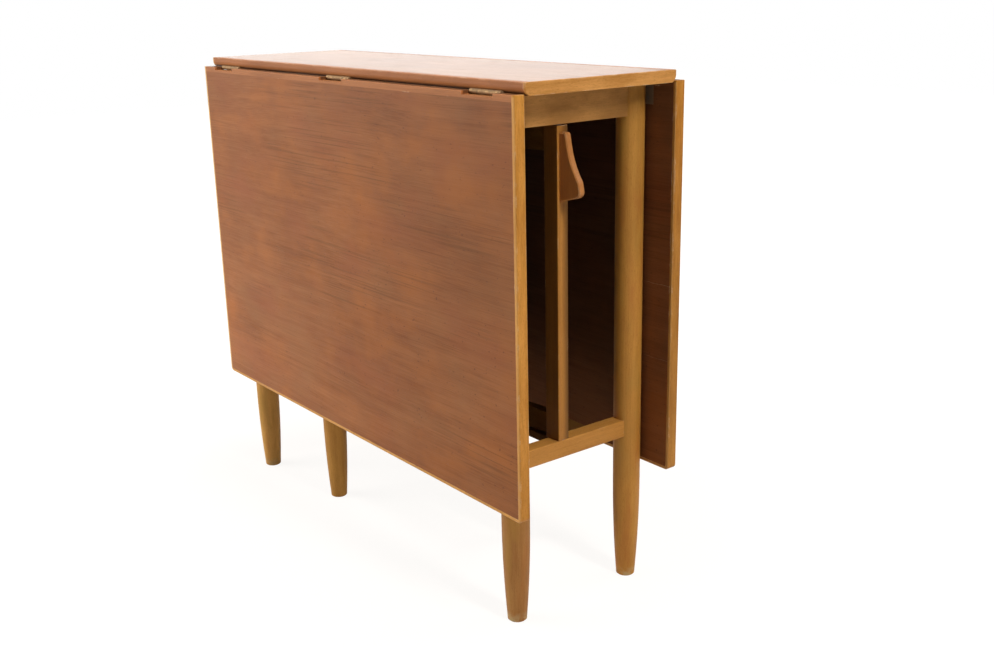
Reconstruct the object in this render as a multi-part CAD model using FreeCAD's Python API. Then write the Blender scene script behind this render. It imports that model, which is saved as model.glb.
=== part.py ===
import FreeCAD, Part
import math
import os

# Drop-leaf table with two gate legs, folded.  All sizes are millimetres.
# +X runs along the table to its near end, the front leaf hangs on the -Y side,
# +Z is up, and the origin is on the floor under the centre of the table.
# The table is point-symmetric: the rear leaf and gate are the front ones
# turned half a turn about the vertical axis through the origin.

os.makedirs("parts", exist_ok=True)

# ---------------------------------------------------------------- sizes

# Top and leaves
table_length = 838.0
table_height = 730.0
top_width = 250.0
board_thickness = 16.0
leaf_depth = 541.0            # from a leaf's hinge edge to its free edge
joint_gap = 0.6               # between the top and a raised leaf
leaf_corner_radius = 7.0
lipping_thickness = 3.5       # beech strips across the top's ends
leaf_lipping_thickness = 5.0  # beech band round a leaf
nosing_width = 10.0           # solid teak strip along each long edge of the top
nose_undercut = 6.5           # how far the nosing's lower edge is set back
nose_height = 9.5             # how far up the rounded part of the nosing reaches
hinge_lipping_width = 8.0     # solid teak strip along each leaf's hinge edge
arris_round = 1.2

# Hinges between the top and the leaves
hinge_length = 62.0
hinge_end_inset = 72.0        # from the table's end to the middle of an end hinge
hinge_axis_out = 1.55         # axis beyond the top's long edge
hinge_axis_up = 1.05          # axis above the underside of the top
barrel_radius = 3.2
hinge_pin_radius = 1.5
plate_thickness = 1.2
plate_reach = 32.0            # from the hinge axis to the plate's far edge
plate_corner_radius = 2.0
knuckle_count = 5
knuckle_gap = 0.2
barrel_clearance = 0.35       # between a barrel and the notch cut for it
plate_clearance = 0.1         # around a plate let into the wood
running_clearance = 0.05      # radial, round pins, dowels and screws
hinge_screw_spacing = 21.0
hinge_screw_far = 24.0        # outer screws, from the hinge axis
hinge_screw_near = 13.0       # middle screw, from the hinge axis

# Legs
leg_end_inset = 60.0          # from the table's end to a leg's axis
leg_y = 102.5
leg_radius = 19.3
leg_foot_radius = 13.3
leg_taper_height = 150.0      # the leg is straight above this
foot_chamfer = 1.2

# End rails
rail_thickness = 22.0
apron_height = 44.0
stretcher_height = 25.0
stretcher_bottom = 221.5
rail_round = 1.5
cope_clearance = 0.05         # between a coped shoulder and a round leg
tenon_thickness = 10.0
tenon_shoulder = 5.0          # above and below a tenon
tenon_from_axis = 3.0         # a tenon's end, from the leg's axis
mortise_clearance = 0.1

# Members along the table
tie_width = 68.0
top_rail_thickness = 18.0
centre_board_thickness = 12.0
dowel_offset = 12.0
dowel_depth = 12.0
top_dowel_radius = 4.0
board_dowel_radius = 3.0
block_length = 28.0
block_width = 26.0
block_height = 22.0
block_chamfer = 9.0
block_from_centre = 47.0      # a corner block's inner end, from the centre plane

# Gates
pivot_outset = 3.0            # pivot axis outside the leg line
pivot_y = 26.5
gate_reach = 523.5            # from the pivot axis to the gate leg's axis
front_gate_angle = 5.93       # between the resting front gate and the table's length
rear_gate_angle = 3.13        # the same for the rear gate, which rests further in
gate_open_angle = 66.0        # the same with the gate under its raised leaf
gate_leg_clearance = 1.0      # under the top and under a raised leaf
post_width = 19.0
post_outer = 8.0              # from the pivot axis to the post's outer face
post_inner = 16.0             # from the pivot axis to the post's inner face
post_top_gap = 1.5
post_round = 1.0
arm_thickness = 15.0
arm_round = 1.2
bottom_arm_height = 29.4
bottom_arm_lift = 6.0         # above the post's lower end
top_arm_height = 32.0
top_arm_drop = 1.0            # below the post's upper end
gate_tenon_thickness = 8.0
gate_tenon_depth = 10.0
gate_pin_radius = 4.0
gate_pin_depth = 14.0         # in the apron and in the stretcher
gate_pin_in_post = 25.0
bore_end_gap = 0.5            # past the end of a pin, tenon or dowel
washer_radius = 7.5
washer_thickness = 0.8

# Handle on each gate post
handle_height = 88.0
handle_reach = 34.0
handle_neck = 12.2
handle_thickness = 10.5
handle_offset = 1.0           # off the post's centre line, towards the leaf
handle_drop = 8.0             # below the post's upper end
handle_chamfer = 1.5
lobe_radius = 9.0
lobe_top_radius = 14.0
crown_radius = 4.0
handle_screw_low = 22.0       # above the handle's lower end
handle_screw_high = 55.0
handle_screw_bite = 9.0       # into the handle's neck

# Leaf stop
stop_length = 40.0
stop_width = 30.0
stop_height = 14.0
stop_gap = 0.5
stop_chamfer = 2.0
stop_screw_offset = 11.0

# Screws: head radius, shank radius, length
hinge_screw = (2.9, 1.6, 12.0)
top_screw = (4.2, 2.2, 30.0)
handle_screw = (4.0, 2.0, post_outer + post_inner + handle_screw_bite)
stop_screw = (3.4, 1.8, 24.0)
fastener_sides = 8            # screws and dowels are drawn with flat sides

# ---------------------------------------------------------------- places

half_length = table_length / 2
half_width = top_width / 2
underside = table_height - board_thickness
hinge_y = half_width + hinge_axis_out
hinge_z = underside + hinge_axis_up
leaf_edge_y = half_width + joint_gap
knuckle_length = hinge_length / knuckle_count
plate_root = barrel_radius + 2 * barrel_clearance
notch_depth = hinge_y - leaf_edge_y + barrel_radius + barrel_clearance
notch_half_length = hinge_length / 2 + barrel_clearance
hinge_pitch = table_length / 2 - hinge_end_inset
hinge_places = (-hinge_pitch, 0.0, hinge_pitch)
leg_x = table_length / 2 - leg_end_inset
hinge_names = ("far", "middle", "near")

rail_inner_x = leg_x - rail_thickness / 2
apron_bottom = underside - apron_height
stretcher_top = stretcher_bottom + stretcher_height
pivot_x = leg_x + pivot_outset
post_bottom = stretcher_top + washer_thickness
post_top = apron_bottom - post_top_gap
gate_leg_top = underside - gate_leg_clearance
bottom_arm_bottom = post_bottom + bottom_arm_lift
bottom_arm_top = bottom_arm_bottom + bottom_arm_height
top_arm_top = post_top - top_arm_drop
top_arm_bottom = top_arm_top - top_arm_height


# ---------------------------------------------------------------- helpers

def vector(x, y, z):
    return FreeCAD.Vector(x, y, z)


def box(x0, x1, y0, y1, z0, z1):
    low = vector(min(x0, x1), min(y0, y1), min(z0, z1))
    return Part.makeBox(abs(x1 - x0), abs(y1 - y0), abs(z1 - z0), low)


def moved(shape, x, y, z):
    result = shape.copy()
    result.translate(vector(x, y, z))
    return result


def turned(shape, point, axis, degrees):
    result = shape.copy()
    result.rotate(point, axis, degrees)
    return result


def half_turn(shape):
    return turned(shape, vector(0, 0, 0), vector(0, 0, 1), 180)


def mirrored_x(shape):
    return shape.mirror(vector(0, 0, 0), vector(1, 0, 0))


def cut(shape, tools):
    for tool in tools:
        shape = shape.cut(tool)
    return shape


def fuse(shapes):
    result = shapes[0]
    for shape in shapes[1:]:
        result = result.fuse(shape)
    return result.removeSplitter()


def group(shapes):
    return Part.makeCompound(shapes)


def outline_face(edges):
    return Part.Face(Part.Wire(edges))


def line(a, b):
    return Part.LineSegment(a, b).toShape()


def arc(a, middle, b):
    return Part.Arc(a, middle, b).toShape()


def edges_along(shape, axis, keep):
    """Straight edges parallel to an axis (0, 1 or 2) whose middle passes keep()."""
    chosen = []
    for edge in shape.Edges:
        if edge.Curve.TypeId != "Part::GeomLine":
            continue
        direction = edge.Curve.Direction
        if abs(abs(direction[axis]) - 1) < 1e-6 and keep(edge.CenterOfMass):
            chosen.append(edge)
    return chosen


def save(name, shape):
    shape.exportStep("parts/" + name + ".step")


def save_pair(name, front_shape):
    """The front piece and its twin, turned half a turn, for the rear."""
    save(name.replace("SIDE", "front"), front_shape)
    save(name.replace("SIDE", "rear"), half_turn(front_shape))


# ---------------------------------------------------------------- fasteners

def flat_sided_ring(radius, height):
    points = []
    for index in range(fastener_sides):
        angle = 2 * math.pi * index / fastener_sides
        points.append(vector(radius * math.cos(angle), radius * math.sin(angle), height))
    return points


def polygon_face(points):
    return Part.Face(Part.makePolygon(points + points[:1]))


def flat_sided(sections):
    """Solid through flat-sided rings, given as radius and height pairs."""
    rings = [flat_sided_ring(radius, height) for radius, height in sections]
    faces = [polygon_face(rings[0][::-1]), polygon_face(rings[-1])]
    for low, high in zip(rings, rings[1:]):
        for index in range(fastener_sides):
            after = (index + 1) % fastener_sides
            faces.append(polygon_face([low[index], low[after], high[after], high[index]]))
    return Part.makeSolid(Part.makeShell(faces))


def screw(sizes, extra=0.0, extra_length=0.0):
    """A countersunk screw, head face down at z = 0, driven upwards."""
    head, shank, length = sizes
    return flat_sided([
        (head + extra, 0.0),
        (shank + extra, head - shank),
        (shank + extra, length + extra_length),
    ])


def screw_hole(sizes):
    return screw(sizes, running_clearance, bore_end_gap)


def rod(radius, start, end):
    direction = end.sub(start)
    return Part.makeCylinder(radius, direction.Length, start, direction)


# ---------------------------------------------------------------- hinges

def hinge_holes():
    """Screw places of one plate: along the hinge, and from its axis."""
    return (
        (-hinge_screw_spacing, hinge_screw_far),
        (0.0, hinge_screw_near),
        (hinge_screw_spacing, hinge_screw_far),
    )


def hinge_plate(side, first_knuckle):
    """One half of a hinge about the X axis, its plate towards side * Y.

    It has every second knuckle, from first_knuckle on.
    """
    bottom = -hinge_axis_up
    top = bottom + plate_thickness
    half = hinge_length / 2
    plate = box(-half, half, side * plate_root, side * plate_reach, bottom, top)
    corners = edges_along(plate, 2, lambda p: abs(p.y) > plate_reach - 1)
    pieces = [plate.makeFillet(plate_corner_radius, corners)]
    for index in range(first_knuckle, knuckle_count, 2):
        start = -half + index * knuckle_length
        end = start + knuckle_length
        if index > 0:
            start += knuckle_gap / 2
        if index < knuckle_count - 1:
            end -= knuckle_gap / 2
        pieces.append(rod(barrel_radius, vector(start, 0, 0), vector(end, 0, 0)))
        pieces.append(box(start, end, 0, side * plate_root, bottom, top))
    result = fuse(pieces)
    bore_radius = hinge_pin_radius + running_clearance
    bore = rod(bore_radius, vector(-half - 1, 0, 0), vector(half + 1, 0, 0))
    holes = [moved(screw_hole(hinge_screw), x, side * y, bottom) for x, y in hinge_holes()]
    return cut(result, [bore] + holes)


def hinge_pin():
    half = hinge_length / 2
    return rod(hinge_pin_radius, vector(-half, 0, 0), vector(half, 0, 0))


def plate_pocket(side):
    """The shallow recess that a plate lies in, flush with the underside."""
    half = hinge_length / 2 + plate_clearance
    reach = plate_reach + plate_clearance
    return box(-half, half, 0, side * reach, -hinge_axis_up, plate_thickness - hinge_axis_up)


def at_hinge(shape, x):
    return moved(shape, x, -hinge_y, hinge_z)


def hinge_cutters(side):
    """Pockets and screw holes for the three hinges, on one side of the axis."""
    cutters = []
    for x in hinge_places:
        cutters.append(at_hinge(plate_pocket(side), x))
        for along, across in hinge_holes():
            hole = moved(screw_hole(hinge_screw), along, side * across, -hinge_axis_up)
            cutters.append(at_hinge(hole, x))
    return cutters


def hinge_screws(side):
    screws = []
    for x in hinge_places:
        for along, across in hinge_holes():
            one = moved(screw(hinge_screw), along, side * across, -hinge_axis_up)
            screws.append(at_hinge(one, x))
    return screws


def folded_down(shape):
    """Takes a piece of the front leaf from level to hanging."""
    return turned(shape, vector(0, -hinge_y, hinge_z), vector(1, 0, 0), 90)


# ---------------------------------------------------------------- top

def nose_edges(y_sign):
    """The nosing's outer profile in the YZ plane, from underside to top face."""
    outer = y_sign * half_width
    set_back = y_sign * (half_width - nose_undercut)
    radius = (nose_undercut ** 2 + nose_height ** 2) / (2 * nose_undercut)
    centre_y = half_width - radius
    centre_z = underside + nose_height
    sweep = math.asin(nose_height / radius)
    middle = vector(
        0,
        y_sign * (centre_y + radius * math.cos(sweep / 2)),
        centre_z - radius * math.sin(sweep / 2),
    )
    low = vector(0, set_back, underside)
    side_low = vector(0, outer, centre_z)
    side_high = vector(0, outer, table_height - arris_round)
    over = vector(0, outer - y_sign * arris_round, table_height)
    corner = arris_round * (1 - math.sqrt(0.5))
    bend = vector(0, outer - y_sign * corner, table_height - corner)
    return [arc(low, middle, side_low), line(side_low, side_high), arc(side_high, bend, over)], low, over


def nosing():
    """Solid teak strip along the front edge of the top."""
    edges, low, over = nose_edges(-1)
    inner = -(half_width - nosing_width)
    top_inner = vector(0, inner, table_height)
    low_inner = vector(0, inner, underside)
    face = outline_face(edges + [line(over, top_inner), line(top_inner, low_inner), line(low_inner, low)])
    length = table_length - 2 * lipping_thickness
    strip = moved(face.extrude(vector(length, 0, 0)), -length / 2, 0, 0)
    return cut(strip, hinge_cutters(1))


def top_lipping():
    """Beech strip across the near end of the top, with the nosings' profile."""
    front, front_low, front_over = nose_edges(-1)
    rear, rear_low, rear_over = nose_edges(1)
    face = outline_face(front + [line(front_over, rear_over)] + rear[::-1] + [line(rear_low, front_low)])
    strip = moved(face.extrude(vector(lipping_thickness, 0, 0)), half_length - lipping_thickness, 0, 0)
    outer = []
    for edge in strip.Edges:
        bounds = edge.BoundBox
        if bounds.XMin > half_length - 0.01 and bounds.ZMax > underside + 0.01:
            outer.append(edge)
    return strip.makeChamfer(arris_round / 2, outer)


def top_screw_places():
    """Where the top is screwed down from below: x, y and the head's height."""
    block_x = rail_inner_x - block_width / 2
    block_y = block_from_centre + block_length / 2
    block_z = underside - block_height
    places = [(sx * block_x, sy * block_y, block_z) for sx in (-1, 1) for sy in (-1, 1)]
    rail_z = underside - top_rail_thickness
    places += [(side * rail_inner_x / 2, 0.0, rail_z) for side in (-1, 1)]
    return places


def top_panel():
    x = half_length - lipping_thickness
    y = half_width - nosing_width
    panel = box(-x, x, -y, y, underside, table_height)
    cutters = hinge_cutters(1)
    cutters += [half_turn(cutter) for cutter in hinge_cutters(1)]
    cutters += [moved(screw_hole(top_screw), *place) for place in top_screw_places()]
    return cut(panel, cutters)


# ---------------------------------------------------------------- leaves

def leaf_outline(inset, start_y):
    """Face of a level front leaf at the underside, inset from its three free edges."""
    x = half_length - inset
    y = -(leaf_edge_y + leaf_depth - inset)
    radius = leaf_corner_radius - inset
    corner = radius * (1 - math.sqrt(0.5))
    left_top = vector(-x, -start_y, underside)
    left_low = vector(-x, y + radius, underside)
    bottom_left = vector(-x + radius, y, underside)
    bottom_right = vector(x - radius, y, underside)
    right_low = vector(x, y + radius, underside)
    right_top = vector(x, -start_y, underside)
    return outline_face([
        line(left_top, left_low),
        arc(left_low, vector(-x + corner, y + corner, underside), bottom_left),
        line(bottom_left, bottom_right),
        arc(bottom_right, vector(x - corner, y + corner, underside), right_low),
        line(right_low, right_top),
        line(right_top, left_top),
    ])


def raised(face):
    return face.extrude(vector(0, 0, board_thickness))


def stop_place():
    """Corner of the stop nearest the leg of the opened front gate."""
    angle = math.radians(gate_open_angle)
    leg_place_x = pivot_x - gate_reach * math.cos(angle)
    leg_place_y = -pivot_y - gate_reach * math.sin(angle)
    return leg_place_x + leg_radius + stop_gap, leg_place_y


def stop_screw_places():
    x, y = stop_place()
    centre = x + stop_width / 2
    level = underside - stop_height
    return [(centre, y + side * stop_screw_offset, level) for side in (-1, 1)]


def leaf_panel():
    panel = raised(leaf_outline(leaf_lipping_thickness, leaf_edge_y + hinge_lipping_width))
    holes = [moved(screw_hole(stop_screw), *place) for place in stop_screw_places()]
    return cut(panel, hinge_cutters(-1) + holes)


def leaf_hinge_lipping():
    """Solid teak strip along the hinge edge, notched for the three barrels."""
    x = half_length - leaf_lipping_thickness
    strip = box(
        -x, x, -leaf_edge_y, -(leaf_edge_y + hinge_lipping_width), underside, table_height
    )
    outer = edges_along(strip, 0, lambda p: p.y > -leaf_edge_y - 0.01)
    strip = strip.makeFillet(arris_round / 2, outer)
    notches = []
    for place in hinge_places:
        low = place - notch_half_length
        high = place + notch_half_length
        notches.append(
            box(low, high, -leaf_edge_y, -(leaf_edge_y + notch_depth), underside, table_height)
        )
    return cut(strip, notches + hinge_cutters(-1))


def leaf_edge_band():
    """Beech band bent round the two ends and the free edge."""
    outer = raised(leaf_outline(0.0, leaf_edge_y))
    rims = []
    for edge in outer.Edges:
        bounds = edge.BoundBox
        level = bounds.ZLength < 1e-6
        on_hinge_edge = bounds.YMin > -leaf_edge_y - 0.01
        if level and not on_hinge_edge:
            rims.append(edge)
    outer = outer.makeChamfer(arris_round, rims)
    inner = raised(leaf_outline(leaf_lipping_thickness, leaf_edge_y))
    return outer.cut(inner)


def leaf_stop():
    """Block that the opened gate's leg comes against."""
    x, y = stop_place()
    half = stop_length / 2
    block = box(x, x + stop_width, y - half, y + half, underside - stop_height, underside)
    low = [e for e in block.Edges if e.BoundBox.ZMax < underside - stop_height + 0.01]
    block = block.makeChamfer(stop_chamfer, low)
    return cut(block, [moved(screw_hole(stop_screw), *place) for place in stop_screw_places()])


# ---------------------------------------------------------------- legs

def turned_leg(top_z):
    """Round leg on the Z axis, its lower end tapered in a bow to the foot."""
    drop = leg_radius - leg_foot_radius
    bow_radius = (drop ** 2 + leg_taper_height ** 2) / (2 * drop)
    middle = leg_taper_height / 2
    middle_drop = bow_radius - math.sqrt(bow_radius ** 2 - middle ** 2)
    centre_foot = vector(0, 0, 0)
    foot = vector(leg_foot_radius, 0, 0)
    bend = vector(leg_radius - middle_drop, 0, middle)
    taper_top = vector(leg_radius, 0, leg_taper_height)
    top = vector(leg_radius, 0, top_z)
    centre_top = vector(0, 0, top_z)
    face = outline_face([
        line(centre_foot, foot),
        arc(foot, bend, taper_top),
        line(taper_top, top),
        line(top, centre_top),
        line(centre_top, centre_foot),
    ])
    leg = face.revolve(vector(0, 0, 0), vector(0, 0, 1), 360)
    rim = [e for e in leg.Edges if e.BoundBox.ZMax < 0.01 and e.BoundBox.YLength > 1]
    return leg.makeChamfer(foot_chamfer, rim)


def cope(x, y, low, high):
    """Cutter that shapes a shoulder to fit round a leg at x, y."""
    return rod(leg_radius + cope_clearance, vector(x, y, low - 1), vector(x, y, high + 1))


def end_tenon(rail_low, rail_high, extra=0.0):
    """Tenon on the front end of a near-end rail; with extra, its mortise."""
    half = tenon_thickness / 2 + extra
    tip = leg_y - tenon_from_axis
    if extra > 0:
        tip += bore_end_gap
    root = leg_y - leg_radius - tenon_thickness
    low = rail_low + tenon_shoulder - extra
    high = rail_high - tenon_shoulder + extra
    return box(leg_x - half, leg_x + half, -root, -tip, low, high)


def rail_heights():
    return ((apron_bottom, underside), (stretcher_bottom, stretcher_top))


def frame_leg(front):
    """A near-end leg, with the mortises for the apron and the stretcher."""
    side = -1 if front else 1
    leg = moved(turned_leg(underside), leg_x, side * leg_y, 0)
    mortises = []
    for low, high in rail_heights():
        mortise = end_tenon(low, high, mortise_clearance)
        mortises.append(mortise if front else mortise.mirror(vector(0, 0, 0), vector(0, 1, 0)))
    return cut(leg, mortises)


# ---------------------------------------------------------------- end rails

def dowel(radius, half_length):
    """A dowel along X, its middle at the origin."""
    upright = flat_sided([(radius, -half_length), (radius, half_length)])
    return turned(upright, vector(0, 0, 0), vector(0, 1, 0), 90)


def frame_dowels_at(radius, level, extra=0.0, extra_length=0.0):
    """The dowels in the near end of a member along the table; with extra, their holes."""
    one = dowel(radius + extra, dowel_depth + extra_length)
    return [moved(one, rail_inner_x, side * dowel_offset, level) for side in (-1, 1)]


def top_dowels(extra=0.0, extra_length=0.0):
    level = underside - top_rail_thickness / 2
    return frame_dowels_at(top_dowel_radius, level, extra, extra_length)


def board_dowels(extra=0.0, extra_length=0.0):
    level = stretcher_top - centre_board_thickness / 2
    return frame_dowels_at(board_dowel_radius, level, extra, extra_length)


def end_rail(low, high, rounded, cutters):
    """Rail between the near-end legs, its ends coped and tenoned into them."""
    half = rail_thickness / 2
    rail = box(leg_x - half, leg_x + half, -leg_y, leg_y, low, high)
    rail = rail.makeFillet(rail_round, edges_along(rail, 1, rounded))
    rail = cut(rail, [cope(leg_x, side * leg_y, low, high) for side in (-1, 1)])
    tenon = end_tenon(low, high)
    rail = fuse([rail, tenon, tenon.mirror(vector(0, 0, 0), vector(0, 1, 0))])
    return cut(rail, cutters)


def pivot_bore(start_z, end_z):
    place = vector(pivot_x, -pivot_y, start_z)
    return rod(gate_pin_radius + running_clearance, place, vector(pivot_x, -pivot_y, end_z))


def apron():
    holes = top_dowels(running_clearance, bore_end_gap)
    bore = pivot_bore(apron_bottom, apron_bottom + gate_pin_depth + bore_end_gap)
    lower = lambda p: p.z < apron_bottom + 1
    return end_rail(apron_bottom, underside, lower, holes + [bore])


def stretcher():
    holes = board_dowels(running_clearance, bore_end_gap)
    bore = pivot_bore(stretcher_top, stretcher_top - gate_pin_depth - bore_end_gap)
    everywhere = lambda p: True
    return end_rail(stretcher_bottom, stretcher_top, everywhere, holes + [bore])


# ---------------------------------------------------------------- ties

def tie(low, high, holes):
    """Member along the table between the end rails, dowelled at both ends."""
    half = tie_width / 2
    member = box(-rail_inner_x, rail_inner_x, -half, half, low, high)
    member = member.makeFillet(rail_round, edges_along(member, 0, lambda p: p.z < low + 1))
    return cut(member, holes + [half_turn(hole) for hole in holes])


def top_rail():
    holes = top_dowels(running_clearance, bore_end_gap)
    rail = tie(underside - top_rail_thickness, underside, holes)
    return cut(rail, [moved(screw_hole(top_screw), *place) for place in top_screw_places()])


def centre_board():
    low = stretcher_top - centre_board_thickness
    board = tie(low, stretcher_top, board_dowels(running_clearance, bore_end_gap))
    upper = edges_along(board, 0, lambda p: p.z > stretcher_top - 0.01)
    return board.makeFillet(rail_round, upper)


def frame_dowels():
    dowels = top_dowels() + board_dowels()
    return dowels + [half_turn(one) for one in dowels]


def corner_blocks():
    blocks = []
    low = underside - block_height
    inner = rail_inner_x - block_width
    far = block_from_centre + block_length
    for side in (-1, 1):
        block = box(inner, rail_inner_x, side * block_from_centre, side * far, low, underside)
        edge = edges_along(block, 1, lambda p: p.z < low + 1 and p.x < inner + 1)
        block = block.makeChamfer(block_chamfer, edge)
        holes = [moved(screw_hole(top_screw), *place) for place in top_screw_places()]
        block = cut(block, holes)
        blocks += [block, half_turn(block)]
    return blocks


# ---------------------------------------------------------------- gates
# A gate is built with its pivot on the Z axis, its arms along +X and the
# side that faces its leaf towards +Y, then swung to its closed place.

def placed_gate(shape, angle):
    swung = turned(shape, vector(0, 0, 0), vector(0, 0, 1), 180 + angle)
    return moved(swung, pivot_x, -pivot_y, 0)


def arm_levels():
    return ((bottom_arm_bottom, bottom_arm_top), (top_arm_bottom, top_arm_top))


def arm_tenons(low, high, extra=0.0):
    """The tenons of an arm in the post and in the leg; with extra, mortises."""
    half = gate_tenon_thickness / 2 + extra
    gap = bore_end_gap if extra > 0 else 0.0
    low += tenon_shoulder - extra
    high -= tenon_shoulder - extra
    in_post = box(post_inner - gate_tenon_depth - gap, post_inner + 2, -half, half, low, high)
    root = gate_reach - leg_radius - gate_tenon_depth
    in_leg = box(root, gate_reach - tenon_from_axis + gap, -half, half, low, high)
    return in_post, in_leg


def gate_pin_spans():
    low = (stretcher_top - gate_pin_depth, post_bottom + gate_pin_in_post)
    high = (post_top - gate_pin_in_post, apron_bottom + gate_pin_depth)
    return low, high


def gate_post():
    half = post_width / 2
    post = box(-post_outer, post_inner, -half, half, post_bottom, post_top)
    post = post.makeFillet(post_round, edges_along(post, 2, lambda p: True))
    mortises = [arm_tenons(low, high, mortise_clearance)[0] for low, high in arm_levels()]
    bores = []
    for start, end in gate_pin_spans():
        low = max(start, post_bottom) if start < post_bottom else start - bore_end_gap
        high = min(end, post_top) if end > post_top else end + bore_end_gap
        bores.append(
            rod(gate_pin_radius + running_clearance, vector(0, 0, low), vector(0, 0, high))
        )
    return cut(post, mortises + bores + handle_screw_holes())


def gate_arm(low, high):
    half = arm_thickness / 2
    arm = box(post_inner, gate_reach, -half, half, low, high)
    arm = arm.makeFillet(arm_round, edges_along(arm, 0, lambda p: True))
    arm = arm.cut(cope(gate_reach, 0, low, high))
    return fuse([arm] + list(arm_tenons(low, high)))


def gate_leg():
    leg = moved(turned_leg(gate_leg_top), gate_reach, 0, 0)
    return cut(leg, [arm_tenons(low, high, mortise_clearance)[1] for low, high in arm_levels()])


def gate_pins():
    return [
        rod(gate_pin_radius, vector(0, 0, start), vector(0, 0, end))
        for start, end in gate_pin_spans()
    ]


def gate_washer():
    """Ring on the stretcher that the post's lower end turns on."""
    ring = Part.makeCylinder(washer_radius, washer_thickness)
    hole = Part.makeCylinder(gate_pin_radius + 4 * running_clearance, washer_thickness)
    return moved(ring.cut(hole), pivot_x, -pivot_y, stretcher_top)


def handle_screw_places():
    base = post_top - handle_drop - handle_height
    middle = handle_offset
    return [(middle, base + handle_screw_low), (middle, base + handle_screw_high)]


def along_post(shape):
    """Lays an upright screw through the post, from its inner face outwards."""
    return turned(shape, vector(0, 0, 0), vector(0, 1, 0), -90)


def handle_screw_holes():
    hole = along_post(screw_hole(handle_screw))
    return [moved(hole, post_inner, y, z) for y, z in handle_screw_places()]


def handle_screws():
    one = along_post(screw(handle_screw))
    return [moved(one, post_inner, y, z) for y, z in handle_screw_places()]


def gate_handle():
    """Ear-shaped teak handle on the post's outer face.

    It is narrow at the top, hollows outwards down its front edge and ends
    in a rounded lobe.
    """
    base = post_top - handle_drop - handle_height
    start_y = handle_offset - handle_thickness / 2

    def at(out, up):
        return vector(-post_outer - out * handle_reach, start_y, base + up * handle_height)

    neck = handle_neck / handle_reach
    heel = at(0, 0)
    lobe = at(1.06, 0.10)
    lobe_top = at(0.95, 0.31)
    hollow = at(0.57, 0.585)
    shoulder = at(neck, 0.90)
    crown = at(0.86 * neck, 1)
    back = at(0, 1)
    face = outline_face([
        line(heel, lobe),
        line(lobe, lobe_top),
        arc(lobe_top, hollow, shoulder),
        line(shoulder, crown),
        line(crown, back),
        line(back, heel),
    ])
    handle = face.extrude(vector(0, handle_thickness, 0))
    for corner, radius in ((lobe, lobe_radius), (lobe_top, lobe_top_radius), (crown, crown_radius)):
        near = lambda p: abs(p.x - corner.x) + abs(p.z - corner.z) < 0.01
        handle = handle.makeFillet(radius, edges_along(handle, 1, near))
    rims = []
    for edge in handle.Edges:
        bounds = edge.BoundBox
        on_post = bounds.XMax - bounds.XMin < 0.01 and bounds.XMin > -post_outer - 0.1
        if bounds.YMax - bounds.YMin < 0.01 and not on_post:
            rims.append(edge)
    handle = handle.makeChamfer(handle_chamfer, rims)
    return cut(handle, handle_screw_holes())


# ---------------------------------------------------------------- table

def save_top():
    save("top_panel", top_panel())
    save_pair("top_nosing_SIDE", nosing())
    lipping = top_lipping()
    save("top_lipping_near", lipping)
    save("top_lipping_far", half_turn(lipping))


def save_frame():
    front_leg = frame_leg(True)
    rear_leg = frame_leg(False)
    save("leg_front_near", front_leg)
    save("leg_rear_near", rear_leg)
    save("leg_rear_far", half_turn(front_leg))
    save("leg_front_far", half_turn(rear_leg))
    near_apron = apron()
    save("apron_near", near_apron)
    save("apron_far", half_turn(near_apron))
    near_stretcher = stretcher()
    save("stretcher_near", near_stretcher)
    save("stretcher_far", half_turn(near_stretcher))
    save("top_rail", top_rail())
    save("centre_board", centre_board())
    save("corner_blocks", group(corner_blocks()))
    save("frame_dowels", group(frame_dowels()))
    top_screws = [moved(screw(top_screw), *place) for place in top_screw_places()]
    save("top_screws", group(top_screws))
    washer = gate_washer()
    save("gate_washers", group([washer, half_turn(washer)]))


def save_hinges():
    fixed = hinge_plate(1, 0)
    moving = hinge_plate(-1, 1)
    pins = []
    for x, name in zip(hinge_places, hinge_names):
        for side, twin in (("front", lambda s: s), ("rear", half_turn)):
            # A half turn brings a hinge from one end of the table to the other.
            place = x if side == "front" else -x
            save("hinge_%s_%s_fixed" % (side, name), twin(at_hinge(fixed, place)))
            save("hinge_%s_%s_moving" % (side, name), twin(folded_down(at_hinge(moving, place))))
            pins.append(twin(at_hinge(hinge_pin(), place)))
    save("hinge_pins", group(pins))
    screws = hinge_screws(1)
    save("hinge_top_screws", group(screws + [half_turn(one) for one in screws]))


def save_leaves():
    save_pair("leaf_SIDE_panel", folded_down(leaf_panel()))
    save_pair("leaf_SIDE_hinge_lipping", folded_down(leaf_hinge_lipping()))
    save_pair("leaf_SIDE_edge_band", folded_down(leaf_edge_band()))
    save_pair("leaf_SIDE_stop", folded_down(leaf_stop()))
    screws = hinge_screws(-1)
    screws += [moved(screw(stop_screw), *place) for place in stop_screw_places()]
    save_pair("leaf_SIDE_screws", folded_down(group(screws)))


def save_gate_piece(name, shape):
    save("gate_front_" + name, placed_gate(shape, front_gate_angle))
    save("gate_rear_" + name, half_turn(placed_gate(shape, rear_gate_angle)))


def save_gates():
    (bottom_low, bottom_high), (top_low, top_high) = arm_levels()
    save_gate_piece("post", gate_post())
    save_gate_piece("bottom_arm", gate_arm(bottom_low, bottom_high))
    save_gate_piece("top_arm", gate_arm(top_low, top_high))
    save_gate_piece("leg", gate_leg())
    save_gate_piece("handle", gate_handle())
    save_gate_piece("pins", group(gate_pins()))
    save_gate_piece("handle_screws", group(handle_screws()))


save_top()
save_frame()
save_hinges()
save_leaves()
save_gates()
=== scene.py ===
import math

import bmesh
import bpy
from mathutils import Matrix, Vector


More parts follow.
